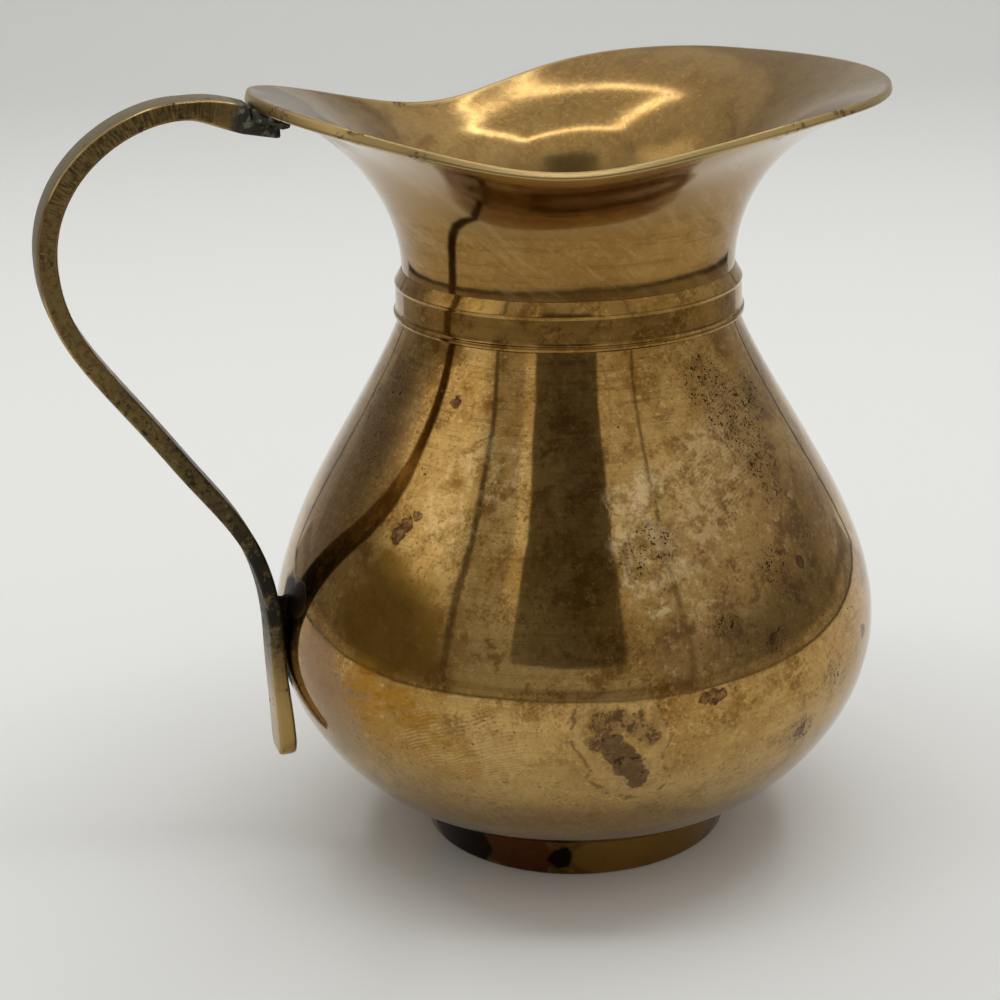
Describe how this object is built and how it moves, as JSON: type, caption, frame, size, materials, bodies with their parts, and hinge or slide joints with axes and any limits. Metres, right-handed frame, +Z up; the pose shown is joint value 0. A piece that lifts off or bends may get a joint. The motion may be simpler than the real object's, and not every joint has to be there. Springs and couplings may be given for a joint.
{
  "type": "brass pitcher",
  "caption": "Pear-shaped brass pitcher on a ring foot, with a collared neck, a wide flared pouring lip and a bent strap handle soldered under the lip and laid against the belly.",
  "frame": {"origin": "on the table plane under the middle of the overall length from handle to spout", "axes": "+X from the handle towards the spout, +Z up along the body axis, Y across the handle's plane"},
  "size_m": [0.1226, 0.0906, 0.1152],
  "materials": {
    "foot_brass": "dark tarnished brass, stained red-brown and black",
    "belly_brass": "aged semi-polished brass with fine turning scratches, specks and stains",
    "neck_brass": "aged semi-polished brass, brighter inside the flare",
    "collar_brass": "aged semi-polished brass with dark seams",
    "strap_brass": "dull brown brass with shear marks on its sides and a worn outer face",
    "solder_crust": "rough green-grey corroded solder",
    "solder_soot": "rough blackened solder"
  },
  "bodies": {
    "root": {"foot_ring": "foot_brass", "belly": "belly_brass", "neck": "neck_brass", "collar": "collar_brass", "handle_strap": "strap_brass", "upper_solder": "solder_crust", "lower_solder": "solder_soot"}
  },
  "joints": []
}
